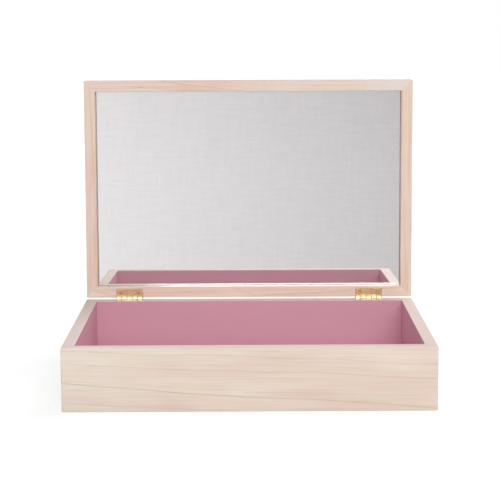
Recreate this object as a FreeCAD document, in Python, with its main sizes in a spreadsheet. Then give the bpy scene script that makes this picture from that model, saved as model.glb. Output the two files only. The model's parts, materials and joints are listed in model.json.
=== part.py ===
import FreeCAD, Part
import Sketcher
import math
import os

# Jewellery box of pale wood, open: a mitred box, a mitred lid with a mirror sunk in it, two brass hinges.
# The origin is the middle of the underside, +X to the right, +Y to the back, +Z up.

# Driving dimensions in millimetres, and the lid's open angle in degrees
SIZES = {
    # Boards of the box and of the lid
    "box_width": 300,
    "box_depth": 200,
    "box_height": 52,
    "lid_height": 18,
    "wall_thickness": 10,
    "corner_radius": 1.0,
    "edge_easing": 0.5,
    # Panels let into the boards
    "rebate_width": 5,
    "base_thickness": 4,
    "lid_panel_thickness": 6,
    "panel_clearance": 0.15,
    "panel_chamfer": 0.3,
    # Mirror and the tape behind it
    "mirror_thickness": 2,
    "mirror_clearance": 0.2,
    "mirror_chamfer": 0.15,
    "tape_thickness": 1,
    "tape_width": 25,
    "tape_margin": 15,
    # Hinges
    "hinge_inset": 39.5,
    "hinge_length": 24,
    "rim_gap": 0.4,
    "leaf_thickness": 1.0,
    "leaf_margin": 2.2,
    "leaf_sunk": 0.6,
    "mortise_clearance": 0.3,
    "leaf_easing": 0.15,
    "knuckle_radius": 2.4,
    "knuckle_clearance": 0.25,
    "pin_setback": 1.0,
    "pin_radius": 1.0,
    "pin_clearance": 0.05,
    "pin_overhang": 0.2,
    "pin_rounding": 0.4,
    "stop_reach": 5,
    "stop_clearance": 0.1,
    "open_angle": 91.5,
    # Screws
    "screw_edge": 3.7,
    "screw_length": 8,
    "screw_point": 2,
    "screw_radius": 0.9,
    "screw_head_radius": 1.7,
    "screw_clearance": 0.05,
    "recess_reach": 1.0,
    "recess_width": 0.5,
    "recess_depth": 0.5,
}

# Knuckles of one hinge, counted along its pin: the box leaf has the even ones, the lid leaf the odd ones
KNUCKLES = 5
COUNTERSINK_ANGLE = 90
# Largest rounding, as a share of the radius that it is cut from
ROUNDING_SHARE = 0.9
TAPE_SIDES = {"left": -1, "middle": 0, "right": 1}
HINGE_SIDES = {"left": -1, "right": 1}
SCREW_ENDS = {"left": -1, "right": 1}

# Sizes that follow from the driving dimensions
LEAF_REACH = "(Size.wall_thickness - Size.leaf_margin)"
LEAF_FACE = "(Size.rim_gap / 2 + Size.leaf_sunk)"
PIN_Y = "(Size.box_depth / 2 + Size.pin_setback)"
PIN_Z = "(Size.box_height + Size.rim_gap / 2)"
HINGE_X = "(Size.box_width / 2 - Size.hinge_inset)"
SCREW_X = "(Size.hinge_length / 2 - Size.screw_edge)"
INNER_WIDTH = "(Size.box_width - 2 * Size.wall_thickness)"
INNER_DEPTH = "(Size.box_depth - 2 * Size.wall_thickness)"
PANEL_GROWTH = "(2 * (Size.rebate_width - Size.panel_clearance))"
MIRROR_WIDTH = f"({INNER_WIDTH} - 2 * Size.mirror_clearance)"
MIRROR_DEPTH = f"({INNER_DEPTH} - 2 * Size.mirror_clearance)"


def frame_at(x, y, z, axis="0; 0; 1", angle="0"):
    """A placement, as an expression, from a place and a turn about an axis."""
    return f"placement(vector({x}; {y}; {z}); rotation(vector({axis}); {angle}))"


# The lid is built like the box, as a tray with its rim up, then turned over and swung open about the pins
LID_SWING = "180 - Size.open_angle"
BOX_FRAME = frame_at("0", "0", "0")
LID_FRAME = (
    frame_at("0", PIN_Y, PIN_Z, "1; 0; 0", LID_SWING)
    + " * "
    + frame_at("0", PIN_Y, "-(Size.lid_height + Size.rim_gap / 2)")
)

doc = FreeCAD.newDocument("jewellery_box")
sheet = doc.addObject("Spreadsheet::Sheet", "Size")
for row, (alias, size) in enumerate(SIZES.items(), start=1):
    sheet.set(f"A{row}", alias)
    sheet.set(f"B{row}", str(size))
    sheet.setAlias(f"B{row}", alias)
doc.recompute()

sub_parts = []


def value(expression):
    """The number that an expression on the sheet's cells stands for."""
    return float(sheet.evalExpression(expression))


def new_body(label, frame):
    """An empty sub-part, placed in the object's frame."""
    body = doc.addObject("PartDesign::Body", label)
    body.Label = label
    body.setExpression("Placement", frame)
    sub_parts.append(body)
    return body


def plane_sketch(body, name, role, lift="0"):
    """A sketch on one of the body's own planes, lifted along that plane's normal."""
    plane = next(item for item in body.Origin.OriginFeatures if item.Role == role)
    sketch = body.newObject("Sketcher::SketchObject", name)
    sketch.AttachmentSupport = [(plane, "")]
    sketch.MapMode = "FlatFace"
    sketch.setExpression("AttachmentOffset.Base.z", lift)
    return sketch


def hold_size(sketch, constraint, size):
    """Add a constraint whose size is an expression."""
    index = sketch.addConstraint(constraint)
    sketch.setExpression(f"Constraints[{index}]", size)


def hold_point(sketch, geometry, point, x, y):
    """Hold a point of a sketch at a place given by two expressions."""
    for kind, place in (("DistanceX", x), ("DistanceY", y)):
        hold_size(sketch, Sketcher.Constraint(kind, -1, 1, geometry, point, value(place)), place)


def draw_outline(sketch, corners):
    """A closed outline of straight lines through corners given by expressions."""
    first = sketch.GeometryCount
    places = [FreeCAD.Vector(value(x), value(y)) for x, y in corners]
    for start, end in zip(places, places[1:] + places[:1]):
        sketch.addGeometry(Part.LineSegment(start, end))
    for index, (x, y) in enumerate(corners):
        following = first + (index + 1) % len(corners)
        sketch.addConstraint(Sketcher.Constraint("Coincident", first + index, 2, following, 1))
        hold_point(sketch, first + index, 1, x, y)


def draw_rectangle(sketch, left, low, right, high):
    """A rectangle between two corners given by expressions."""
    draw_outline(sketch, [(left, low), (right, low), (right, high), (left, high)])


def draw_circle(sketch, x, y, radius):
    """A circle whose middle and radius are expressions."""
    middle = FreeCAD.Vector(value(x), value(y))
    circle = sketch.addGeometry(Part.Circle(middle, FreeCAD.Vector(0, 0, 1), value(radius)))
    hold_point(sketch, circle, 3, x, y)
    hold_size(sketch, Sketcher.Constraint("Radius", circle, value(radius)), radius)


def draw_board_plan(sketch, length):
    """Plan of a mitred board: outer face on the X axis, eased outside corners, ends at 45 degrees."""
    half = value(f"{length} / 2")
    wall = value("Size.wall_thickness")
    corner = value("Size.corner_radius")
    up = FreeCAD.Vector(0, 0, 1)
    eased = corner * (1 - math.sqrt(0.5))
    right_circle = Part.Circle(FreeCAD.Vector(half - corner, corner), up, corner)
    left_circle = Part.Circle(FreeCAD.Vector(corner - half, corner), up, corner)
    right_tip = FreeCAD.Vector(half - eased, eased)
    left_tip = FreeCAD.Vector(eased - half, eased)
    right_inner = FreeCAD.Vector(half - wall, wall)
    left_inner = FreeCAD.Vector(wall - half, wall)
    outer = sketch.addGeometry(
        Part.LineSegment(FreeCAD.Vector(corner - half, 0), FreeCAD.Vector(half - corner, 0))
    )
    right_arc = sketch.addGeometry(Part.ArcOfCircle(right_circle, -math.pi / 2, -math.pi / 4))
    right_mitre = sketch.addGeometry(Part.LineSegment(right_tip, right_inner))
    inner = sketch.addGeometry(Part.LineSegment(right_inner, left_inner))
    left_mitre = sketch.addGeometry(Part.LineSegment(left_inner, left_tip))
    left_arc = sketch.addGeometry(Part.ArcOfCircle(left_circle, -3 * math.pi / 4, -math.pi / 2))
    rules = [
        Sketcher.Constraint("Horizontal", outer),
        Sketcher.Constraint("PointOnObject", outer, 1, -1),
        Sketcher.Constraint("Tangent", outer, 2, right_arc, 1),
        Sketcher.Constraint("Coincident", right_arc, 2, right_mitre, 1),
        Sketcher.Constraint("Coincident", right_mitre, 2, inner, 1),
        Sketcher.Constraint("Coincident", inner, 2, left_mitre, 1),
        Sketcher.Constraint("Coincident", left_mitre, 2, left_arc, 1),
        Sketcher.Constraint("Tangent", left_arc, 2, outer, 1),
        Sketcher.Constraint("Equal", right_arc, left_arc),
        Sketcher.Constraint("PointOnObject", right_arc, 3, right_mitre),
        Sketcher.Constraint("PointOnObject", left_arc, 3, left_mitre),
    ]
    for rule in rules:
        sketch.addConstraint(rule)
    inner_x = f"{length} / 2 - Size.wall_thickness"
    arc_x = f"{length} / 2 - Size.corner_radius"
    hold_point(sketch, inner, 1, inner_x, "Size.wall_thickness")
    hold_point(sketch, inner, 2, f"-({inner_x})", "Size.wall_thickness")
    hold_size(sketch, Sketcher.Constraint("Radius", right_arc, corner), "Size.corner_radius")
    hold_size(sketch, Sketcher.Constraint("DistanceX", -1, 1, right_arc, 3, half - corner), arc_x)
    hold_size(sketch, Sketcher.Constraint("DistanceX", -1, 1, left_arc, 3, corner - half), f"-({arc_x})")


def pad(body, sketch, length, both_ways=False):
    """Raise a sketch into a solid, along its normal or half each way."""
    feature = body.newObject("PartDesign::Pad", f"{sketch.Name}_pad")
    feature.Profile = sketch
    feature.SideType = "Symmetric" if both_ways else "One side"
    feature.setExpression("Length", length)
    doc.recompute()
    return feature


def pocket(body, sketch, depth, reverse=False, both_ways=False):
    """Cut a sketch into the body, against its normal, along it or half each way, and see that it cut."""
    whole = body.Shape.Volume
    feature = body.newObject("PartDesign::Pocket", f"{sketch.Name}_pocket")
    feature.Profile = sketch
    feature.SideType = "Symmetric" if both_ways else "One side"
    feature.Reversed = reverse
    feature.setExpression("Length", depth)
    doc.recompute()
    if not body.Shape.Volume < whole:
        raise RuntimeError(f"{feature.Name} of {body.Label} cuts nothing")


def ease(body, kind, size, is_wanted):
    """Round or chamfer the edges of the body's last feature that a test picks."""
    base = body.Tip
    names = [f"Edge{count}" for count, edge in enumerate(base.Shape.Edges, start=1) if is_wanted(edge)]
    feature = body.newObject(f"PartDesign::{kind}", f"{body.Name}_easing")
    feature.Base = (base, names)
    feature.setExpression("Radius" if kind == "Fillet" else "Size", size)
    doc.recompute()


def is_level(edge, height):
    """Whether an edge lies in the level plane at a height."""
    box = edge.BoundBox
    return max(abs(box.ZMin - height), abs(box.ZMax - height)) < Part.Precision.confusion()


def mitred_board(label, length, height, rebate, frame):
    """A board of the box or the lid, rim up: eased long edges and a rebate under its inner face."""
    body = new_body(label, frame)
    plan = plane_sketch(body, "plan", "XY_Plane")
    draw_board_plan(plan, length)
    pad(body, plan, height)
    rim = value(height)
    wall = value("Size.wall_thickness")
    corner = value("Size.corner_radius")

    def is_long_edge(edge):
        across = edge.BoundBox.Center.y
        outside = across < corner and (is_level(edge, 0) or is_level(edge, rim))
        inside = abs(across - wall) < Part.Precision.confusion() and is_level(edge, rim)
        return outside or inside

    ease(body, "Fillet", f"min(Size.edge_easing; {ROUNDING_SHARE} * Size.corner_radius)", is_long_edge)
    ledge = plane_sketch(body, "rebate", "XY_Plane")
    draw_rectangle(
        ledge,
        f"-{length} / 2",
        "Size.wall_thickness - Size.rebate_width",
        f"{length} / 2",
        "2 * Size.wall_thickness",
    )
    pocket(body, ledge, rebate, reverse=True)
    return body


def cut_hinge_seats(body, height):
    """Two mortises in a board's rim, open at its outer face, with room for barrels and holes for screws."""
    mortises = plane_sketch(body, "mortises", "XY_Plane", height)
    holes = plane_sketch(body, "screw_holes", "XY_Plane", height)
    half_seat = "(Size.hinge_length / 2 + Size.mortise_clearance)"
    for side in HINGE_SIDES.values():
        middle = f"{side} * {HINGE_X}"
        draw_rectangle(
            mortises,
            f"{middle} - {half_seat}",
            "-Size.wall_thickness",
            f"{middle} + {half_seat}",
            f"{LEAF_REACH} + Size.mortise_clearance",
        )
        for end in SCREW_ENDS.values():
            draw_circle(
                holes,
                f"{middle} + {end} * {SCREW_X}",
                f"{LEAF_REACH} / 2",
                "Size.screw_radius + Size.screw_clearance",
            )
    pocket(body, mortises, "Size.leaf_thickness + Size.leaf_sunk")
    pocket(body, holes, "Size.screw_length + Size.leaf_sunk + Size.screw_clearance")
    for side in HINGE_SIDES.values():
        barrel_room = plane_sketch(body, "barrel_room", "YZ_Plane", f"{side} * {HINGE_X}")
        draw_circle(
            barrel_room,
            "-Size.pin_setback",
            f"{height} + Size.rim_gap / 2",
            "Size.knuckle_radius + Size.knuckle_clearance",
        )
        pocket(body, barrel_room, f"2 * {half_seat}", both_ways=True)


def tray_boards(labels, height, rebate, frame, hinged):
    """Four boards mitred round a tray: the side at -Y, the one at +Y, then those at -X and +X."""
    wide = "Size.box_width"
    deep = "Size.box_depth"
    sides = [
        (wide, "0", f"-{deep} / 2", "0"),
        (wide, "0", f"{deep} / 2", "180"),
        (deep, f"-{wide} / 2", "0", "-90"),
        (deep, f"{wide} / 2", "0", "90"),
    ]
    for label, (length, x, y, angle) in zip(labels, sides):
        board_frame = f"{frame} * {frame_at(x, y, '0', angle=angle)}"
        board = mitred_board(label, length, height, rebate, board_frame)
        if label == hinged:
            cut_hinge_seats(board, height)


def flat_plate(label, width, depth, thickness, frame, chamfer, chamfer_level):
    """A rectangular plate on its frame's XY plane, chamfered round its lower or upper face."""
    body = new_body(label, frame)
    plan = plane_sketch(body, "plate", "XY_Plane")
    draw_rectangle(plan, f"-{width} / 2", f"-{depth} / 2", f"{width} / 2", f"{depth} / 2")
    pad(body, plan, thickness)
    level = value(chamfer_level)
    ease(body, "Chamfer", chamfer, lambda edge: is_level(edge, level))


def mirror_tape(label, side):
    """A strip of foam tape between the lid's panel and the mirror, front to back."""
    length = f"{MIRROR_DEPTH} - 2 * Size.tape_margin"
    middle = f"{side} * ({MIRROR_WIDTH} / 2 - Size.tape_margin - Size.tape_width / 2)"
    strip = doc.addObject("Part::Box", label)
    strip.Label = label
    strip.setExpression("Length", "Size.tape_width")
    strip.setExpression("Width", length)
    strip.setExpression("Height", "Size.tape_thickness")
    corner = frame_at(f"{middle} - Size.tape_width / 2", f"-({length}) / 2", "Size.lid_panel_thickness")
    strip.setExpression("Placement", f"{LID_FRAME} * {corner}")
    sub_parts.append(strip)


def stop_corner(along, behind):
    """A point of a hinge's stop: along the stop from the pin, and behind its face."""
    turn = "(Size.open_angle / 2)"
    return (
        f"({behind}) * sin({turn}) - ({along}) * cos({turn})",
        f"-({along}) * sin({turn}) - ({behind}) * cos({turn})",
    )


def hinge_leaf(label, frame, first_knuckle):
    """A leaf on its pin's axis: plate towards +Y, face up, stop behind, every other knuckle."""
    body = new_body(label, frame)
    barrel = plane_sketch(body, "barrel", "YZ_Plane")
    draw_circle(barrel, "0", "0", "Size.knuckle_radius")
    pad(body, barrel, "Size.hinge_length", both_ways=True)
    plate = plane_sketch(body, "plate", "YZ_Plane")
    draw_rectangle(
        plate, "0", f"-{LEAF_FACE} - Size.leaf_thickness", f"Size.pin_setback + {LEAF_REACH}", f"-{LEAF_FACE}"
    )
    pad(body, plate, "Size.hinge_length", both_ways=True)
    face = "Size.stop_clearance / 2"
    back = f"{face} + Size.leaf_thickness"
    stop = plane_sketch(body, "stop", "YZ_Plane")
    draw_outline(
        stop,
        [
            stop_corner("0", face),
            stop_corner("Size.stop_reach", face),
            stop_corner("Size.stop_reach", back),
            stop_corner("0", back),
        ],
    )
    pad(body, stop, "Size.hinge_length", both_ways=True)
    bore = plane_sketch(body, "bore", "YZ_Plane")
    draw_circle(bore, "0", "0", "Size.pin_radius + Size.pin_clearance")
    pocket(body, bore, "Size.hinge_length", both_ways=True)
    for knuckle in range(1 - first_knuckle, KNUCKLES, 2):
        along = f"Size.hinge_length * ({2 * knuckle + 1} / {2 * KNUCKLES} - 1 / 2)"
        room = plane_sketch(body, "knuckle_room", "YZ_Plane", along)
        draw_circle(room, "0", "0", "Size.knuckle_radius + Size.knuckle_clearance")
        room_length = f"Size.hinge_length / {KNUCKLES} + Size.knuckle_clearance"
        pocket(body, room, room_length, both_ways=True)
    holes = plane_sketch(body, "screw_holes", "XY_Plane", f"-{LEAF_FACE}")
    for end in SCREW_ENDS.values():
        draw_circle(holes, f"{end} * {SCREW_X}", f"Size.pin_setback + {LEAF_REACH} / 2", "Size.screw_radius")
    doc.recompute()
    hole = body.newObject("PartDesign::Hole", "countersunk_holes")
    hole.Profile = holes
    hole.DepthType = "ThroughAll"
    hole.HoleCutType = "Countersink"
    hole.HoleCutCustomValues = True
    hole.setExpression("Diameter", "2 * (Size.screw_radius + Size.screw_clearance)")
    hole.setExpression("HoleCutDiameter", "2 * (Size.screw_head_radius + Size.screw_clearance)")
    hole.HoleCutCountersinkAngle = COUNTERSINK_ANGLE
    doc.recompute()
    leaf_end = value(f"Size.pin_setback + {LEAF_REACH}")

    def is_end_edge(edge):
        box = edge.BoundBox
        return abs(box.YMin - leaf_end) < Part.Precision.confusion()

    ease(body, "Fillet", "Size.leaf_easing", is_end_edge)


def hinge_pin(label, frame):
    """A pin along X with rounded ends that stand just proud of the outer knuckles."""
    body = new_body(label, frame)
    section = plane_sketch(body, "pin", "YZ_Plane")
    draw_circle(section, "0", "0", "Size.pin_radius")
    pad(body, section, "Size.hinge_length + 2 * Size.pin_overhang", both_ways=True)
    ease(
        body,
        "Fillet",
        f"min(Size.pin_rounding; {ROUNDING_SHARE} * Size.pin_radius)",
        lambda edge: isinstance(edge.Curve, Part.Circle),
    )


def hinge_screw(label, frame):
    """A countersunk screw, point down, with a cross recess in its head."""
    body = new_body(label, frame)
    profile = plane_sketch(body, "profile", "XZ_Plane")
    head_depth = "(Size.screw_head_radius - Size.screw_radius)"
    draw_outline(
        profile,
        [
            ("0", "0"),
            ("0", "-Size.screw_length"),
            ("Size.screw_radius", "Size.screw_point - Size.screw_length"),
            ("Size.screw_radius", f"-{head_depth}"),
            ("Size.screw_head_radius", "0"),
        ],
    )
    turned = body.newObject("PartDesign::Revolution", "turned")
    turned.Profile = profile
    turned.ReferenceAxis = (profile, ["V_Axis"])
    doc.recompute()
    for reach, width in (("recess_reach", "recess_width / 2"), ("recess_width / 2", "recess_reach")):
        arm = plane_sketch(body, "recess", "XY_Plane")
        draw_rectangle(arm, f"-Size.{reach}", f"-Size.{width}", f"Size.{reach}", f"Size.{width}")
        pocket(body, arm, "Size.recess_depth")


def hinge(side_name, side):
    """One hinge: its two leaves, its pin and its four screws."""
    across = f"{side} * {HINGE_X}"
    leaf_frames = {
        "box": frame_at(across, PIN_Y, PIN_Z, angle="180"),
        "lid": frame_at(across, PIN_Y, PIN_Z, "1; 0; 0", LID_SWING),
    }
    for first_knuckle, (carrier, frame) in enumerate(leaf_frames.items()):
        hinge_leaf(f"{side_name}_hinge_{carrier}_leaf", frame, first_knuckle)
        facing = -1 if carrier == "box" else 1
        for end_name, end in SCREW_ENDS.items():
            seat = frame_at(
                f"{facing * end} * {SCREW_X}", f"Size.pin_setback + {LEAF_REACH} / 2", f"-{LEAF_FACE}"
            )
            hinge_screw(f"{side_name}_hinge_{carrier}_screw_{end_name}", f"{frame} * {seat}")
    hinge_pin(f"{side_name}_hinge_pin", frame_at(across, PIN_Y, PIN_Z))


# Box
tray_boards(
    ["front_wall", "back_wall", "left_wall", "right_wall"],
    "Size.box_height",
    "Size.base_thickness",
    BOX_FRAME,
    "back_wall",
)
flat_plate(
    "base_panel",
    f"({INNER_WIDTH} + {PANEL_GROWTH})",
    f"({INNER_DEPTH} + {PANEL_GROWTH})",
    "Size.base_thickness",
    BOX_FRAME,
    "Size.panel_chamfer",
    "0",
)

# Lid, whose back rail lies at -Y until it is turned over
tray_boards(
    ["lid_back_rail", "lid_front_rail", "lid_left_rail", "lid_right_rail"],
    "Size.lid_height",
    "Size.lid_panel_thickness",
    LID_FRAME,
    "lid_back_rail",
)
flat_plate(
    "lid_panel",
    f"({INNER_WIDTH} + {PANEL_GROWTH})",
    f"({INNER_DEPTH} + {PANEL_GROWTH})",
    "Size.lid_panel_thickness",
    LID_FRAME,
    "Size.panel_chamfer",
    "0",
)
for tape_name, tape_side in TAPE_SIDES.items():
    mirror_tape(f"mirror_tape_{tape_name}", tape_side)
flat_plate(
    "mirror",
    MIRROR_WIDTH,
    MIRROR_DEPTH,
    "Size.mirror_thickness",
    f"{LID_FRAME} * {frame_at('0', '0', 'Size.lid_panel_thickness + Size.tape_thickness')}",
    "Size.mirror_chamfer",
    "Size.mirror_thickness",
)

# Hinges
for hinge_name, hinge_side in HINGE_SIDES.items():
    hinge(hinge_name, hinge_side)

doc.recompute()

# Every object is sound, and every sub-part is one valid solid, before any file is written
for item in doc.Objects:
    if "Invalid" in item.State or "Error" in item.State:
        raise RuntimeError(f"{item.Label} failed: {item.State}")
for sub_part in sub_parts:
    shape = sub_part.Shape
    if shape.isNull() or not shape.isValid() or len(shape.Solids) != 1:
        raise RuntimeError(f"{sub_part.Label} is not one valid solid")

os.makedirs("parts", exist_ok=True)
for sub_part in sub_parts:
    sub_part.Shape.exportStep(f"parts/{sub_part.Label}.step")
print(len(sub_parts), "sub-parts written")
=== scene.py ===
import json
import math
import bpy
from mathutils import Matrix, Vector


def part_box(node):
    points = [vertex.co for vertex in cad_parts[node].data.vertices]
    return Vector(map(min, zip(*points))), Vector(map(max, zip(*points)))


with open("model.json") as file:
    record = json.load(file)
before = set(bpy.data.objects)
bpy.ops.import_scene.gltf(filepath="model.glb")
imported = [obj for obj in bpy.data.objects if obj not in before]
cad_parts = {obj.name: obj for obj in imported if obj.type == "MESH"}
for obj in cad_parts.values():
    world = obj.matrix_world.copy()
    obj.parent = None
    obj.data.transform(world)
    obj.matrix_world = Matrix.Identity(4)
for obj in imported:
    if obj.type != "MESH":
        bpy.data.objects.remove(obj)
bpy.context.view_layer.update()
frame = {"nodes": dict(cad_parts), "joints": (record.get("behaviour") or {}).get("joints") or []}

MM = 0.001
WHITE = (1.0, 1.0, 1.0, 1.0)

# Directions of the standing box and of its open lid
RIGHT = Vector((1, 0, 0))
BACK = Vector((0, 1, 0))
UP = Vector((0, 0, 1))
LID_LEAN = math.radians(frame["joints"][0]["range_deg"][1] - 90)
LID_UP = Vector((0, math.sin(LID_LEAN), math.cos(LID_LEAN)))
LID_OUT = Vector((0, -math.cos(LID_LEAN), math.sin(LID_LEAN)))

# Camera: a long lens a little above the rim, with the photograph's framing
PHOTO_SIDE = 500
FOCAL_PIXELS = 1493
AXIS_RISE_PIXELS = 40
SENSOR_WIDTH = 36.0
CAMERA_PLACE = Vector((-0.001, -1.257, 0.3203))
CAMERA_PITCH = math.radians(7.79)
CAMERA_YAW = math.radians(-0.09)
CAMERA_ROLL = math.radians(-0.25)

# Stage and light
FLOOR_SIDE = 12.0
FLOOR_DROP = 0.2 * MM
FLOOR_GLOW_NEAR = {"reach": 0.5, "level": 0.77}
FLOOR_GLOW_FAR = {"reach": 1.5, "level": 0.95}
FLOOR_SEEN = 0.3
FLOOR_BOUNCE = 0.8
FILL_LEVEL = 0.42
KEY_LIGHT = {"place": (0.21, -1.9, 0.85), "size": (0.9, 1.0), "power": 20.5}
TOP_LIGHT = {"place": (0.8, 0.6, 1.6), "size": (1.2, 0.8), "power": 15.0}
BACK_LIGHT = {"place": (0.0, 2.2, 0.35), "size": (1.0, 0.6), "power": 16.0, "mirrored": False}
LIGHT_TARGET = Vector((0, 0, 0.12))

# Surroundings that the mirror and the brass reflect, paler low down and to the left
MIRRORED_LOW = {"rise": -0.075, "level": 0.76}
MIRRORED_HIGH = {"rise": 0.0, "level": 0.715}
MIRRORED_TILT = {"reach": 0.1, "level": 0.13}


def linear(level):
    share = level / 255
    return share / 12.92 if share <= 0.04045 else ((share + 0.055) / 1.055) ** 2.4


def tone(red, green, blue):
    return (linear(red), linear(green), linear(blue), 1.0)


def grey(level):
    return (level, level, level, 1.0)


class Shader:
    """A node tree with one short call for each kind of node that the materials use."""

    def __init__(self, tree):
        self.tree = tree
        tree.nodes.clear()

    def add(self, kind, inputs=None, **settings):
        made = self.tree.nodes.new("ShaderNode" + kind)
        for name, value in settings.items():
            setattr(made, name, value)
        for socket, value in (inputs or {}).items():
            if isinstance(value, bpy.types.NodeSocket):
                self.tree.links.new(value, made.inputs[socket])
            else:
                made.inputs[socket].default_value = value
        return made

    def place(self):
        return self.add("TexCoord").outputs["Object"]

    def calc(self, operation, *terms):
        return self.add("Math", dict(enumerate(terms)), operation=operation).outputs[0]

    def vector_calc(self, operation, first, second, output=0):
        return self.add("VectorMath", {0: first, 1: second}, operation=operation).outputs[output]

    def length(self, vector):
        return self.add("VectorMath", {0: vector}, operation="LENGTH").outputs["Value"]

    def remap(self, value, low, high, new_low=0.0, new_high=1.0, kind="LINEAR"):
        inputs = {"Value": value, "From Min": low, "From Max": high, "To Min": new_low, "To Max": new_high}
        return self.add("MapRange", inputs, interpolation_type=kind).outputs[0]

    def noise(self, place, stretch, seed, detail):
        stretched = self.vector_calc("MULTIPLY", place, stretch)
        inputs = {"Vector": stretched, "W": seed, "Scale": 1.0, "Detail": detail}
        return self.add("TexNoise", inputs, noise_dimensions="4D").outputs[0]

    def noises(self, place, layers, seed=0):
        """The noise of each named layer, with a seed that sets one board or piece apart from the next."""
        made = {}
        for name, layer in layers.items():
            made[name] = self.noise(place, layer["stretch"], layer["seed"] + seed, layer["detail"])
        return made

    def mix(self, share, first, second):
        """A mix of two colours, which a mix node takes at sockets 6 and 7 and gives at output 2."""
        return self.add("Mix", {0: share, 6: first, 7: second}, data_type="RGBA").outputs[2]

    def shade(self, colour, value):
        return self.add("HueSaturation", {"Color": colour, "Value": value}).outputs[0]

    def ramp(self, value, stops):
        made = self.add("ValToRGB", {0: value})
        elements = made.color_ramp.elements
        while len(elements) < len(stops):
            elements.new(1.0)
        for element, (position, level) in zip(elements, stops):
            element.position = position
            element.color = grey(level)
        return made.outputs[0]

    def bump(self, height, strength, distance):
        inputs = {"Height": height, "Strength": strength, "Distance": distance}
        return self.add("Bump", inputs).outputs[0]


def new_surface(name, inputs):
    material = bpy.data.materials.new(name)
    material.use_nodes = True
    shader = Shader(material.node_tree)
    surface = shader.add("BsdfPrincipled", inputs)
    shader.add("OutputMaterial", {"Surface": surface.outputs[0]})
    return material, shader, surface


def feed(shader, surface, **sockets):
    for name, output in sockets.items():
        shader.tree.links.new(output, surface.inputs[name.replace("_", " ")])


# Wood: sizes in mm, stretches in waves per mm along the grain, across the face and through the board
GRAIN_NOISE = {
    "sway": {"stretch": (0.007, 0.02, 0.02), "seed": 0, "detail": 1.0},
    "ripple": {"stretch": (0.03, 0.05, 0.05), "seed": 29, "detail": 2.0},
    "breaks": {"stretch": (0.03, 0.05, 0.05), "seed": 23, "detail": 2.0},
    "blush": {"stretch": (0.014, 0.06, 0.06), "seed": 3, "detail": 2.0},
    "honey": {"stretch": (0.014, 0.06, 0.06), "seed": 5, "detail": 2.0},
    "streaks": {"stretch": (0.01, 0.8, 0.8), "seed": 13, "detail": 3.0},
    "fibres": {"stretch": (0.03, 1.5, 1.5), "seed": 11, "detail": 3.0},
    "pores": {"stretch": (0.07, 3.2, 3.2), "seed": 17, "detail": 2.0},
}
SWAY = 9.0
RIPPLE = 2.0
RING_WIDTH = 9.0
FINE_RING_WIDTH = 2.3
FINE_RING_SHARE = 0.5
FINE_RING_SEED = 7
RING_STOPS = [(0.0, 0.25), (0.07, 0.0), (0.55, 0.1), (0.86, 0.4), (0.95, 1.0), (1.0, 0.25)]
RING_UNEVENNESS = {"scale": 0.3, "rings": 1.6}
LINE_FADE = 1.8
LINE_EDGE = 0.45
LINE_SHARPNESS = 2.5
LINE_DIVE = 1.6

# Spreads of the wood's noises, which are the parts of their range that count, and what those become
BREAK_SPREAD = (0.3, 0.7)
BREAK_LEVELS = (0.35, 1.0)
BLUSH_SPREAD = (0.35, 0.65)
HONEY_SPREAD = (0.45, 0.7)
STREAK_SPREAD = (0.45, 0.7)
FIBRE_SPREAD = (0.2, 0.8)
FIBRE_LEVELS = (0.95, 1.05)
FIBRE_ROUGHNESS = (0.5, 0.66)
PORE_SPREAD = (0.62, 0.78)
PORE_DARKNESS = 0.05

# Flecks, pink on the rims as painted reflection of the pink inside, and the wood's surface
FLECK_STRETCH = (0.03, 0.08, 0.08)
FLECK_REACH = 0.06
FLECK_SHARE = 0.62
FLECK_TONE = tone(150, 114, 92)
RIM_FACING = (0.7, 1.0)
RIM_REFLECTION_TONE = tone(224, 190, 212)
GRAIN_BUMP = {"strength": 0.15, "distance": 0.15 * MM}
SANDED = {"Specular IOR Level": 0.06}
LACQUERED = {"Specular IOR Level": 0.3, "Coat Weight": 0.4, "Coat Roughness": 0.24}


def board_places(shader, node_name, axes):
    """Distances in mm from the board's middle: along its grain, across its face and through it."""
    low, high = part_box(node_name)
    from_middle = shader.vector_calc("SUBTRACT", shader.place(), (low + high) / 2)
    return [shader.vector_calc("DOT_PRODUCT", from_middle, axis / MM, "Value") for axis in axes]


def swing(shader, noise, width):
    """A noise as a distance to either side."""
    return shader.calc("MULTIPLY_ADD", noise, width, -width / 2)


def bent_rise(shader, rise, noise):
    """Distance across the face, swayed and rippled as the grain is."""
    bend = shader.calc("ADD", swing(shader, noise["sway"], SWAY), swing(shader, noise["ripple"], RIPPLE))
    return shader.calc("ADD", rise, bend)


def pith_distance(shader, run, rise, deep, pith, drift):
    """Distance from the middle of the tree, which lies beside the board and drifts across it."""
    across = shader.calc("SUBTRACT", shader.calc("MULTIPLY_ADD", run, drift, rise), pith[0])
    through = shader.calc("SUBTRACT", deep, pith[1])
    return shader.length(shader.add("CombineXYZ", {0: across, 1: through}).outputs[0])


def growth_rings(shader, radius, ring_width, seed):
    """Darkness of rings that deepen slowly and end in a thin late line, each ring with its own strength."""
    inputs = {"W": radius, "Scale": RING_UNEVENNESS["scale"] / ring_width}
    uneven = shader.add("TexNoise", inputs, noise_dimensions="1D").outputs[0]
    shifted = shader.calc("MULTIPLY", uneven, RING_UNEVENNESS["rings"])
    count = shader.calc("MULTIPLY_ADD", radius, 1 / ring_width, shifted)
    edge = shader.ramp(shader.calc("FRACT", count), RING_STOPS)
    ring = shader.calc("ADD", shader.calc("FLOOR", count), seed)
    strength = shader.add("TexWhiteNoise", {"W": ring}, noise_dimensions="1D").outputs[0]
    return shader.calc("MULTIPLY", edge, strength)


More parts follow.
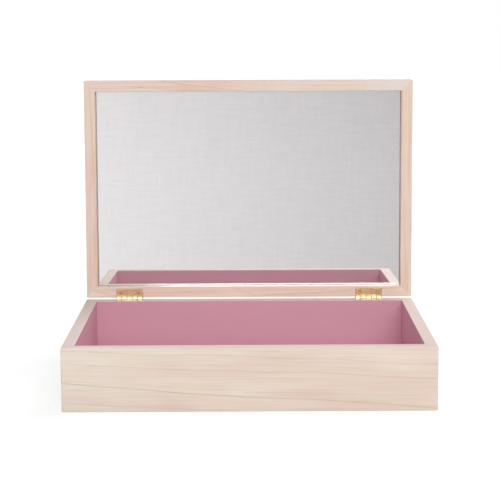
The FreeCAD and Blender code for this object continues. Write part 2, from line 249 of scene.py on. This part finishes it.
def ring_darkness(shader, radius, seed, depth):
    """Darkness of wide rings and of fine ones among them."""
    wide = growth_rings(shader, radius, RING_WIDTH, seed)
    fine = growth_rings(shader, radius, FINE_RING_WIDTH, seed + FINE_RING_SEED)
    wide_dark = shader.calc("MULTIPLY", wide, depth)
    fine_dark = shader.calc("MULTIPLY", fine, depth * FINE_RING_SHARE)
    return shader.calc("MAXIMUM", wide_dark, fine_dark)


def late_line(shader, run, rise, length, left, right, strength):
    """Darkness of one line across a board's face, with its heights at the two ends from the middle."""
    slope = (right - left) / length
    level = (left + right) / 2
    height = shader.calc("SUBTRACT", shader.calc("MULTIPLY_ADD", run, -slope, rise), level)
    below = shader.calc("POWER", shader.remap(height, -LINE_FADE, 0), LINE_SHARPNESS)
    above = shader.remap(height, 0, LINE_EDGE, 1, 0)
    return shader.calc("MULTIPLY", shader.calc("MINIMUM", below, above), strength)


def late_lines(shader, node_name, axes, run, rise, deep, lines):
    """Darkness of all the lines on a board's face, which dive into the board behind that face."""
    low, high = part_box(node_name)
    length, thickness = [abs((high - low).dot(axis)) / MM for axis in (axes[0], axes[2])]
    behind = shader.calc("SUBTRACT", deep, thickness / 2)
    diving = shader.calc("MULTIPLY_ADD", behind, LINE_DIVE, rise)
    dark = 0.0
    for left, right, strength in lines:
        dark = shader.calc("MAXIMUM", dark, late_line(shader, run, diving, length, left, right, strength))
    return dark


def patches(shader, run, noise, tones, warming, streak_depth):
    """Colour between the rings: pale wood with blush and honey patches, and with long streaks."""
    # Blush that shifts along the board with warming; on the front wall this is painted shade, darker and
    # rosier to the right.
    warm = shader.calc("MULTIPLY_ADD", run, warming, noise["blush"])
    honey = shader.remap(noise["honey"], *HONEY_SPREAD)
    streaks = shader.remap(noise["streaks"], *STREAK_SPREAD, 0.0, streak_depth)
    colour = shader.mix(shader.remap(warm, *BLUSH_SPREAD), tones["pale"], tones["blush"])
    colour = shader.mix(honey, colour, tones["honey"])
    return shader.mix(streaks, colour, tones["late"])


def flecks(shader, grain):
    """Darkness of sparse small flecks, longer along the grain than across it."""
    stretched = shader.vector_calc("MULTIPLY", grain, FLECK_STRETCH)
    cells = shader.add("TexVoronoi", {"Vector": stretched, "Scale": 1.0}).outputs
    spot = shader.remap(cells["Distance"], 0, FLECK_REACH, 1, 0)
    return shader.calc("MULTIPLY", spot, shader.calc("GREATER_THAN", cells["Color"], FLECK_SHARE))


def painted_rim_reflection(shader, rim_reflection):
    """Share of pink on the faces that look up: painted reflection of the pink inside."""
    normal = shader.add("TexCoord").outputs["Normal"]
    facing_up = shader.vector_calc("DOT_PRODUCT", normal, UP, "Value")
    return shader.remap(facing_up, *RIM_FACING, 0.0, rim_reflection)


def wood(
    node_name, along, across, seed, tones, pith, drift,
    ring_depth=0.4, streak_depth=0.2, warming=0.0, lines=(), rim_reflection=0.0, gloss=SANDED,
):
    """Wood of one board: bent rings and lines, then patches, streaks and flecks, then fibres and pores."""
    material, shader, surface = new_surface("wood_" + node_name, gloss)
    axes = (along, across, along.cross(across))
    run, rise, deep = board_places(shader, node_name, axes)
    grain = shader.add("CombineXYZ", {0: run, 1: rise, 2: deep}).outputs[0]
    noise = shader.noises(grain, GRAIN_NOISE, seed)
    fibres = noise["fibres"]
    pores = shader.remap(noise["pores"], *PORE_SPREAD)

    bent = bent_rise(shader, rise, noise)
    radius = pith_distance(shader, run, bent, deep, pith, drift)
    dark = ring_darkness(shader, radius, seed, ring_depth)
    if lines:
        drawn = late_lines(shader, node_name, axes, run, bent, deep, lines)
        dark = shader.calc("MAXIMUM", dark, drawn)
    broken = shader.remap(noise["breaks"], *BREAK_SPREAD, *BREAK_LEVELS)
    dark = shader.calc("MULTIPLY", dark, broken)

    colour = patches(shader, run, noise, tones, warming, streak_depth)
    colour = shader.mix(dark, colour, tones["late"])
    colour = shader.mix(flecks(shader, grain), colour, FLECK_TONE)
    # Pink on the faces that look up: painted reflection of the pink inside.
    colour = shader.mix(painted_rim_reflection(shader, rim_reflection), colour, RIM_REFLECTION_TONE)

    level = shader.remap(fibres, *FIBRE_SPREAD, *FIBRE_LEVELS)
    level = shader.calc("MULTIPLY_ADD", pores, -PORE_DARKNESS, level)
    relief = shader.calc("SUBTRACT", shader.calc("SUBTRACT", fibres, pores), dark)
    feed(
        shader, surface,
        Base_Color=shader.shade(colour, level),
        Roughness=shader.remap(fibres, *FIBRE_SPREAD, *FIBRE_ROUGHNESS),
        Normal=shader.bump(relief, **GRAIN_BUMP),
    )
    return material


# Paint, with stretches in waves per metre here and below
PAINT_NOISE = {
    "brush": {"stretch": (12, 12, 650), "seed": 1.0, "detail": 3.0},
    "clouds": {"stretch": (14, 14, 40), "seed": 2.0, "detail": 2.0},
    "speckle": {"stretch": (900, 900, 900), "seed": 3.0, "detail": 2.0},
}
PAINT_GLOSS = {"Specular IOR Level": 0.3}
PINK_TONES = (tone(212, 162, 177), tone(217, 165, 181))
PAINT_SPREAD = (0.2, 0.8)
BRUSH_LEVELS = (0.97, 1.02)
SPECKLE_LEVELS = (-0.01, 0.01)
PAINT_ROUGHNESS = (0.52, 0.64)
PAINT_BUMP = {"strength": 0.12, "distance": 0.1 * MM}


def paint():
    """Pink paint with level brush marks, clouds of colour and a fine speckle."""
    material, shader, surface = new_surface("pink_paint", PAINT_GLOSS)
    noise = shader.noises(shader.place(), PAINT_NOISE)
    brush, speckle = noise["brush"], noise["speckle"]
    colour = shader.mix(noise["clouds"], *PINK_TONES)
    brushed = shader.remap(brush, *PAINT_SPREAD, *BRUSH_LEVELS)
    speckled = shader.remap(speckle, *PAINT_SPREAD, *SPECKLE_LEVELS)
    feed(
        shader, surface,
        Base_Color=shader.shade(colour, shader.calc("ADD", brushed, speckled)),
        Roughness=shader.remap(brush, *PAINT_SPREAD, *PAINT_ROUGHNESS),
        Normal=shader.bump(shader.calc("ADD", brush, speckle), **PAINT_BUMP),
    )
    return material


# Mirror
MIRROR_NOISE = {
    "haze": {"stretch": (16, 16, 9), "seed": 4.0, "detail": 4.0},
    "wiped": {"stretch": (45, 45, 360), "seed": 7.0, "detail": 3.0},
    "rubbed": {"stretch": (360, 45, 45), "seed": 8.0, "detail": 3.0},
    "dust": {"stretch": (1400, 1400, 1400), "seed": 5.0, "detail": 2.0},
}
SILVER_GLOSS = {"Metallic": 0.925}
SILVER_TONES = (tone(241, 239, 239), tone(244, 242, 242))
SILVER_SPREAD = (0.3, 0.7)
SILVER_ROUGHNESS = (0.012, 0.03)
WIPED_LEVELS = (0.96, 1.0)
RUBBED_LEVELS = (0.0, 0.03)
DUST_TONE = tone(190, 190, 190)
DUST_SPREAD = (0.7, 0.8)
DUST_LEVELS = (0.0, 0.06)
EDGE_NOISE = {"grind": {"stretch": (40, 900, 900), "seed": 6.0, "detail": 3.0}}
EDGE_GLOSS = {"Specular IOR Level": 0.6}
EDGE_TONES = (tone(150, 160, 156), tone(186, 192, 190))
EDGE_SPREAD = (0.2, 0.8)
EDGE_ROUGHNESS = (0.2, 0.4)


def mirror_silver():
    """Silver with a faint haze, the marks of a cloth in two directions and a little dust."""
    material, shader, surface = new_surface("mirror_silver", SILVER_GLOSS)
    noise = shader.noises(shader.place(), MIRROR_NOISE)
    wiped = shader.remap(noise["wiped"], *SILVER_SPREAD, *WIPED_LEVELS)
    rubbed = shader.remap(noise["rubbed"], *SILVER_SPREAD, *RUBBED_LEVELS)
    silver = shader.shade(shader.mix(noise["haze"], *SILVER_TONES), shader.calc("ADD", wiped, rubbed))
    dust = shader.remap(noise["dust"], *DUST_SPREAD, *DUST_LEVELS)
    feed(
        shader, surface,
        Base_Color=shader.mix(dust, silver, DUST_TONE),
        Roughness=shader.remap(noise["haze"], *SILVER_SPREAD, *SILVER_ROUGHNESS),
    )
    return material


def glass_edge():
    """The ground edge of the mirror's glass."""
    material, shader, surface = new_surface("mirror_edge", EDGE_GLOSS)
    grind = shader.noises(shader.place(), EDGE_NOISE)["grind"]
    feed(
        shader, surface,
        Base_Color=shader.mix(grind, *EDGE_TONES),
        Roughness=shader.remap(grind, *EDGE_SPREAD, *EDGE_ROUGHNESS),
    )
    return material


# Brass of the leaves; of the box leaves and of the barrels, both paler brass as painted highlight; and of the
# screws
BRASSES = {
    "hinge_brass": {"bright": tone(238, 216, 168), "dull": tone(230, 204, 152), "rough": 0.22, "seed": 20},
    "painted_highlight_leaf_brass": {"bright": tone(251, 241, 219), "dull": tone(244, 231, 200), "rough": 0.3, "seed": 35},
    "painted_highlight_barrel_brass": {
        "bright": tone(252, 246, 218), "dull": tone(244, 232, 194), "rough": 0.5, "seed": 25, "jointed": True,
    },
    "screw_brass": {"bright": tone(226, 198, 146), "dull": tone(208, 176, 122), "rough": 0.2, "seed": 30},
}
BRASS_NOISE = {
    "tarnish": {"stretch": (220, 220, 220), "seed": 0, "detail": 4.0},
    "scratches": {"stretch": (90, 3200, 3200), "seed": 1, "detail": 2.0},
}
BRASS_GLOSS = {"Metallic": 1.0}
DULL_SPREAD = (0.35, 0.75)
TARNISH_SPREAD = (0.3, 0.7)
TARNISH_ROUGHNESS = 0.08
SCRATCH_SPREAD = (0.4, 0.7)
SCRATCH_LEVELS = (0.0, 0.08)
BRASS_BUMP = {"strength": 0.08, "distance": 0.03 * MM}

# Hinge barrels, with painted shade in the joints between their knuckles and in the seam along them
PIN_PLACE = sum(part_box("left_hinge_pin"), Vector()) / 2
BARREL_REACH = 2.5 * MM
KNUCKLE_LENGTH = 4.8 * MM
JOINT_WIDTH = 0.3 * MM
SEAM_NOISE = {"crease_shade": {"stretch": (300, 300, 300), "seed": 40.0, "detail": 2.0}}
SEAM_WIDTH = 0.35 * MM
SEAM_SPREAD = (0.35, 0.6)
SEAM_LEVELS = (0.25, 0.7)
CREASE_SHADE_TONE = tone(112, 86, 48)


def knuckle_joints(shader, place):
    """Painted shade in the joints between a barrel's knuckles."""
    side = shader.calc("ABSOLUTE", shader.add("SeparateXYZ", {0: place}).outputs["X"])
    from_middle = shader.calc("SUBTRACT", side, abs(PIN_PLACE.x))
    knuckle = shader.calc("FRACT", shader.calc("DIVIDE", from_middle, KNUCKLE_LENGTH))
    off_joint = shader.calc("ABSOLUTE", shader.calc("SUBTRACT", knuckle, 0.5))
    from_joint = shader.calc("MULTIPLY", off_joint, KNUCKLE_LENGTH)
    return shader.remap(from_joint, JOINT_WIDTH / 2, JOINT_WIDTH, 1, 0)


def knuckle_seam(shader, place):
    """Painted shade along a barrel where its rolled knuckles meet their leaf, as a broken line."""
    height = shader.calc("SUBTRACT", shader.add("SeparateXYZ", {0: place}).outputs["Z"], PIN_PLACE.z)
    line = shader.remap(shader.calc("ABSOLUTE", height), SEAM_WIDTH / 2, SEAM_WIDTH, 1, 0)
    crease_shade = shader.noises(place, SEAM_NOISE)["crease_shade"]
    return shader.calc("MULTIPLY", line, shader.remap(crease_shade, *SEAM_SPREAD, *SEAM_LEVELS))


def brass(name, bright, dull, rough, seed, jointed=False):
    """Brass with patches of tarnish and fine scratches, and with painted shade where it is jointed."""
    material, shader, surface = new_surface(name, BRASS_GLOSS)
    place = shader.place()
    noise = shader.noises(place, BRASS_NOISE, seed)
    colour = shader.mix(shader.remap(noise["tarnish"], *DULL_SPREAD), bright, dull)
    if jointed:
        crease_shade = shader.calc("MAXIMUM", knuckle_joints(shader, place), knuckle_seam(shader, place))
        # Painted shade in the knuckle joints and along the seam.
        colour = shader.mix(crease_shade, colour, CREASE_SHADE_TONE)
    tarnished = shader.remap(noise["tarnish"], *TARNISH_SPREAD, rough, rough + TARNISH_ROUGHNESS)
    scratched = shader.remap(noise["scratches"], *SCRATCH_SPREAD, *SCRATCH_LEVELS)
    feed(
        shader, surface,
        Base_Color=colour,
        Roughness=shader.calc("ADD", tarnished, scratched),
        Normal=shader.bump(noise["scratches"], **BRASS_BUMP),
    )
    return material


# Foam tape
FOAM_GLOSS = {"Roughness": 0.9}
FOAM_CELLS = 1600.0
FOAM_TONES = (tone(238, 238, 234), tone(206, 206, 202))
FOAM_BUMP = {"strength": 0.3, "distance": 0.2 * MM}


def foam():
    """Pale foam with fine cells."""
    material, shader, surface = new_surface("foam_tape", FOAM_GLOSS)
    cells = shader.add("TexVoronoi", {"Vector": shader.place(), "Scale": FOAM_CELLS}).outputs["Distance"]
    feed(
        shader, surface,
        Base_Color=shader.mix(cells, *FOAM_TONES),
        Normal=shader.bump(cells, **FOAM_BUMP),
    )
    return material


# Colours of the boards, and lines on them: heights in mm at the ends from the board's middle, then strength
WALL_TONES = {
    "pale": tone(233, 221, 210),
    "blush": tone(231, 212, 202),
    "honey": tone(230, 216, 200),
    "late": tone(194, 162, 137),
}
FRONT_TONES = {
    "pale": tone(233, 221, 209),
    "blush": tone(228, 208, 195),
    "honey": tone(230, 215, 197),
    "late": tone(191, 156, 128),
}
RAIL_TONES = {
    "pale": tone(234, 220, 208),
    "blush": tone(235, 209, 195),
    "honey": tone(234, 217, 197),
    "late": tone(214, 171, 145),
}
TOP_TONES = {
    "pale": tone(232, 222, 213),
    "blush": tone(232, 210, 198),
    "honey": tone(232, 218, 203),
    "late": tone(218, 174, 149),
}
# The lid's bottom rail: paler than the other rails, painted light that makes up for the shade it sits in just
# above the box.
PAINTED_LIGHT_FOOT_TONES = {
    "pale": tone(242, 228, 215),
    "blush": tone(245, 219, 204),
    "honey": tone(243, 224, 204),
    "late": tone(216, 171, 141),
}
# Share of pink on the rims: painted reflection of the pink inside.
RIM_REFLECTION_SHARE = 0.22
FRONT_LINES = [(24.0, 12.0, 0.4), (13.0, 0.0, 0.5), (-2.2, -25.0, 0.75), (-16.5, -36.0, 0.45)]
TOP_LINES = [(12.4, -23.6, 0.8), (15.4, -20.6, 0.5)]
FOOT_LINES = [(3.2, -49.3, 1.0), (60.0, -62.0, 0.6)]

# Boards: directions along the grain and across the face, colours, pith in mm, drift and what sets them apart
BOARDS = {
    # The front wall's warming puts more blush towards its right end: painted shade, darker and rosier to the
    # right.
    "front_wall": dict(along=RIGHT, across=UP, seed=1, tones=FRONT_TONES, pith=(-60, 45), drift=0.06,
                       ring_depth=0.2, warming=0.0012, lines=FRONT_LINES, rim_reflection=RIM_REFLECTION_SHARE),
    "back_wall": dict(along=RIGHT, across=UP, seed=2, tones=WALL_TONES, pith=(-10, 60), drift=0.04,
                      rim_reflection=RIM_REFLECTION_SHARE),
    "left_wall": dict(along=BACK, across=UP, seed=3, tones=WALL_TONES, pith=(20, 70), drift=-0.05,
                      rim_reflection=RIM_REFLECTION_SHARE),
    "right_wall": dict(along=BACK, across=UP, seed=4, tones=WALL_TONES, pith=(-30, 50), drift=0.04,
                       rim_reflection=RIM_REFLECTION_SHARE),
    "base_panel": dict(along=RIGHT, across=BACK, seed=5, tones=WALL_TONES, pith=(30, 90), drift=0.03),
    "lid_front_rail": dict(along=RIGHT, across=LID_UP, seed=6, tones=TOP_TONES, pith=(50, 40), drift=0.05,
                           streak_depth=0.5, warming=-0.0012, lines=TOP_LINES),
    # Paler tones on this rail: painted light.
    "lid_back_rail": dict(along=RIGHT, across=LID_UP, seed=7, tones=PAINTED_LIGHT_FOOT_TONES, pith=(-40, 50), drift=-0.05,
                          ring_depth=0.7, streak_depth=0.5, lines=FOOT_LINES),
    "lid_left_rail": dict(along=LID_UP, across=RIGHT, seed=8, tones=RAIL_TONES, pith=(60, 20), drift=0.03,
                          ring_depth=0.6, streak_depth=0.25),
    "lid_right_rail": dict(along=LID_UP, across=RIGHT, seed=9, tones=RAIL_TONES, pith=(-60, 25), drift=-0.03,
                           ring_depth=0.7, streak_depth=0.5),
    "lid_panel": dict(along=RIGHT, across=LID_UP, seed=10, tones=WALL_TONES, pith=(15, -80), drift=0.05),
}


def finish_node(node_name, *materials):
    slots = frame["nodes"][node_name].data.materials
    slots.clear()
    for material in materials:
        slots.append(material)


def give_second_finish(node_name, belongs):
    for polygon in frame["nodes"][node_name].data.polygons:
        polygon.material_index = 1 if belongs(polygon) else 0


# Faces that take a second finish, with limits on the cosine between a face's normal and a direction
FACE_MARGIN = 0.3 * MM
LEVEL_MARGIN = 0.2 * MM
INSIDE_X = -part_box("left_wall")[1].x + FACE_MARGIN
INSIDE_Y = -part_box("front_wall")[1].y + FACE_MARGIN
FLOOR_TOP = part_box("base_panel")[1].z
LID_MIDDLE = sum(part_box("lid_panel"), Vector()) / 2
UPRIGHT_LIMIT = 0.5
LEVEL_LIMIT = 0.9
RECESS_LIMIT = 0.1
SILVER_LIMIT = 0.5


def faces_inside(polygon):
    middle = polygon.center
    in_plan = abs(middle.x) < INSIDE_X and abs(middle.y) < INSIDE_Y
    inward = polygon.normal.x * middle.x + polygon.normal.y * middle.y < 0
    on_wall = in_plan and inward and abs(polygon.normal.z) < UPRIGHT_LIMIT
    on_floor = polygon.normal.z > LEVEL_LIMIT and abs(middle.z - FLOOR_TOP) < LEVEL_MARGIN
    return on_wall or on_floor


def faces_recess(polygon):
    inward = polygon.normal.dot(LID_MIDDLE - polygon.center)
    return abs(polygon.normal.dot(LID_OUT)) < RECESS_LIMIT and inward > 0


def faces_glass_edge(polygon):
    return polygon.normal.dot(LID_OUT) < SILVER_LIMIT


def faces_barrel(polygon):
    from_pin = polygon.center - PIN_PLACE
    return math.hypot(from_pin.y, from_pin.z) < BARREL_REACH


def dress_boards():
    pink = paint()
    for node_name, board in BOARDS.items():
        bare = wood(node_name, **board)
        if node_name.endswith("_rail"):
            finish_node(node_name, bare, wood(node_name, **board, gloss=LACQUERED))
            give_second_finish(node_name, faces_recess)
        elif node_name == "lid_panel":
            finish_node(node_name, bare)
        else:
            finish_node(node_name, bare, pink)
            give_second_finish(node_name, faces_inside)


def dress_mirror():
    finish_node("mirror", mirror_silver(), glass_edge())
    give_second_finish("mirror", faces_glass_edge)
    tape = foam()
    for place in ("left", "middle", "right"):
        finish_node("mirror_tape_" + place, tape)


def dress_hinges():
    metals = {name: brass(name, **kind) for name, kind in BRASSES.items()}
    for node_name in frame["nodes"]:
        if "_screw_" in node_name:
            finish_node(node_name, metals["screw_brass"])
        elif "_hinge_" in node_name:
            # Box leaves and barrels take paler brass: painted highlight.
            flat_brass = "painted_highlight_leaf_brass" if node_name.endswith("_box_leaf") else "hinge_brass"
            finish_node(node_name, metals[flat_brass], metals["painted_highlight_barrel_brass"])
            give_second_finish(node_name, faces_barrel)


# Stage
def seen_share(shader):
    """Whether a ray comes straight from the camera, and whether it comes by way of a mirror or glass."""
    path = shader.add("LightPath").outputs
    mirrored = shader.calc("MAXIMUM", path["Is Glossy Ray"], path["Is Transmission Ray"])
    return path["Is Camera Ray"], mirrored


def white_floor():
    """White that keeps the object's shadow, with a glow that grows away from the object."""
    material = bpy.data.materials.new("white_floor")
    material.use_nodes = True
    shader = Shader(material.node_tree)
    by_camera, by_mirror = seen_share(shader)
    near, far = FLOOR_GLOW_NEAR, FLOOR_GLOW_FAR
    reach = shader.length(shader.place())
    level = shader.remap(reach, near["reach"], far["reach"], near["level"], far["level"])
    glow = shader.add("Emission", {"Strength": level})
    dim = shader.add("BsdfDiffuse", {"Color": grey(FLOOR_SEEN)})
    bounce = shader.add("BsdfDiffuse", {"Color": grey(FLOOR_BOUNCE)})
    seen = shader.add("AddShader", {0: glow.outputs[0], 1: dim.outputs[0]})
    share = shader.calc("MAXIMUM", by_camera, by_mirror)
    mixed = shader.add("MixShader", {0: share, 1: bounce.outputs[0], 2: seen.outputs[0]})
    shader.add("OutputMaterial", {"Surface": mixed.outputs[0]})
    return material


def make_floor():
    half = FLOOR_SIDE / 2
    mesh = bpy.data.meshes.new("floor")
    corners = [(x, y, -FLOOR_DROP) for x, y in ((-half, -half), (half, -half), (half, half), (-half, half))]
    mesh.from_pydata(corners, [], [range(len(corners))])
    mesh.materials.append(white_floor())
    floor = bpy.data.objects.new("floor", mesh)
    bpy.context.scene.collection.objects.link(floor)
    floor.visible_glossy = False


def make_world():
    """A white background, a plain fill light and the surroundings that the mirror shows."""
    world = bpy.data.worlds.new("studio")
    world.use_nodes = True
    bpy.context.scene.world = world
    shader = Shader(world.node_tree)
    by_camera, by_mirror = seen_share(shader)
    direction = shader.add("SeparateXYZ", {0: shader.add("TexCoord").outputs["Generated"]}).outputs
    reach, tilt = MIRRORED_TILT["reach"], MIRRORED_TILT["level"]
    sideways = shader.remap(direction["X"], -reach, reach, tilt, -tilt)
    level = shader.remap(
        direction["Z"], MIRRORED_LOW["rise"], MIRRORED_HIGH["rise"],
        MIRRORED_LOW["level"], MIRRORED_HIGH["level"], "SMOOTHSTEP"
    )
    mirrored = shader.add("Background", {"Color": WHITE, "Strength": shader.calc("ADD", level, sideways)})
    white = shader.add("Background", {"Color": WHITE})
    fill = shader.add("Background", {"Color": WHITE, "Strength": FILL_LEVEL})
    lit = shader.add("MixShader", {0: by_mirror, 1: fill.outputs[0], 2: mirrored.outputs[0]})
    mixed = shader.add("MixShader", {0: by_camera, 1: lit.outputs[0], 2: white.outputs[0]})
    shader.add("OutputWorld", {"Surface": mixed.outputs[0]})


def make_light(name, place, size, power, mirrored=True):
    lamp = bpy.data.lights.new(name, "AREA")
    lamp.shape = "RECTANGLE"
    lamp.size, lamp.size_y = size
    lamp.energy = power
    light = bpy.data.objects.new(name, lamp)
    light.location = place
    light.rotation_euler = (LIGHT_TARGET - light.location).to_track_quat("-Z", "Y").to_euler()
    light.visible_camera = False
    light.visible_glossy = mirrored
    bpy.context.scene.collection.objects.link(light)


def make_camera():
    data = bpy.data.cameras.new("camera")
    data.sensor_width = SENSOR_WIDTH
    data.lens = FOCAL_PIXELS * SENSOR_WIDTH / PHOTO_SIDE
    data.shift_y = -AXIS_RISE_PIXELS / PHOTO_SIDE
    camera = bpy.data.objects.new("camera", data)
    turn = Matrix.Rotation(CAMERA_YAW, 4, "Z")
    tilt = Matrix.Rotation(math.pi / 2 - CAMERA_PITCH, 4, "X")
    roll = Matrix.Rotation(CAMERA_ROLL, 4, "Z")
    camera.matrix_world = Matrix.Translation(CAMERA_PLACE) @ turn @ tilt @ roll
    bpy.context.scene.collection.objects.link(camera)
    bpy.context.scene.camera = camera


dress_boards()
dress_mirror()
dress_hinges()
make_floor()
make_world()
make_light("key", **KEY_LIGHT)
make_light("top", **TOP_LIGHT)
make_light("back", **BACK_LIGHT)
make_camera()
bpy.context.scene.view_settings.view_transform = "Standard"
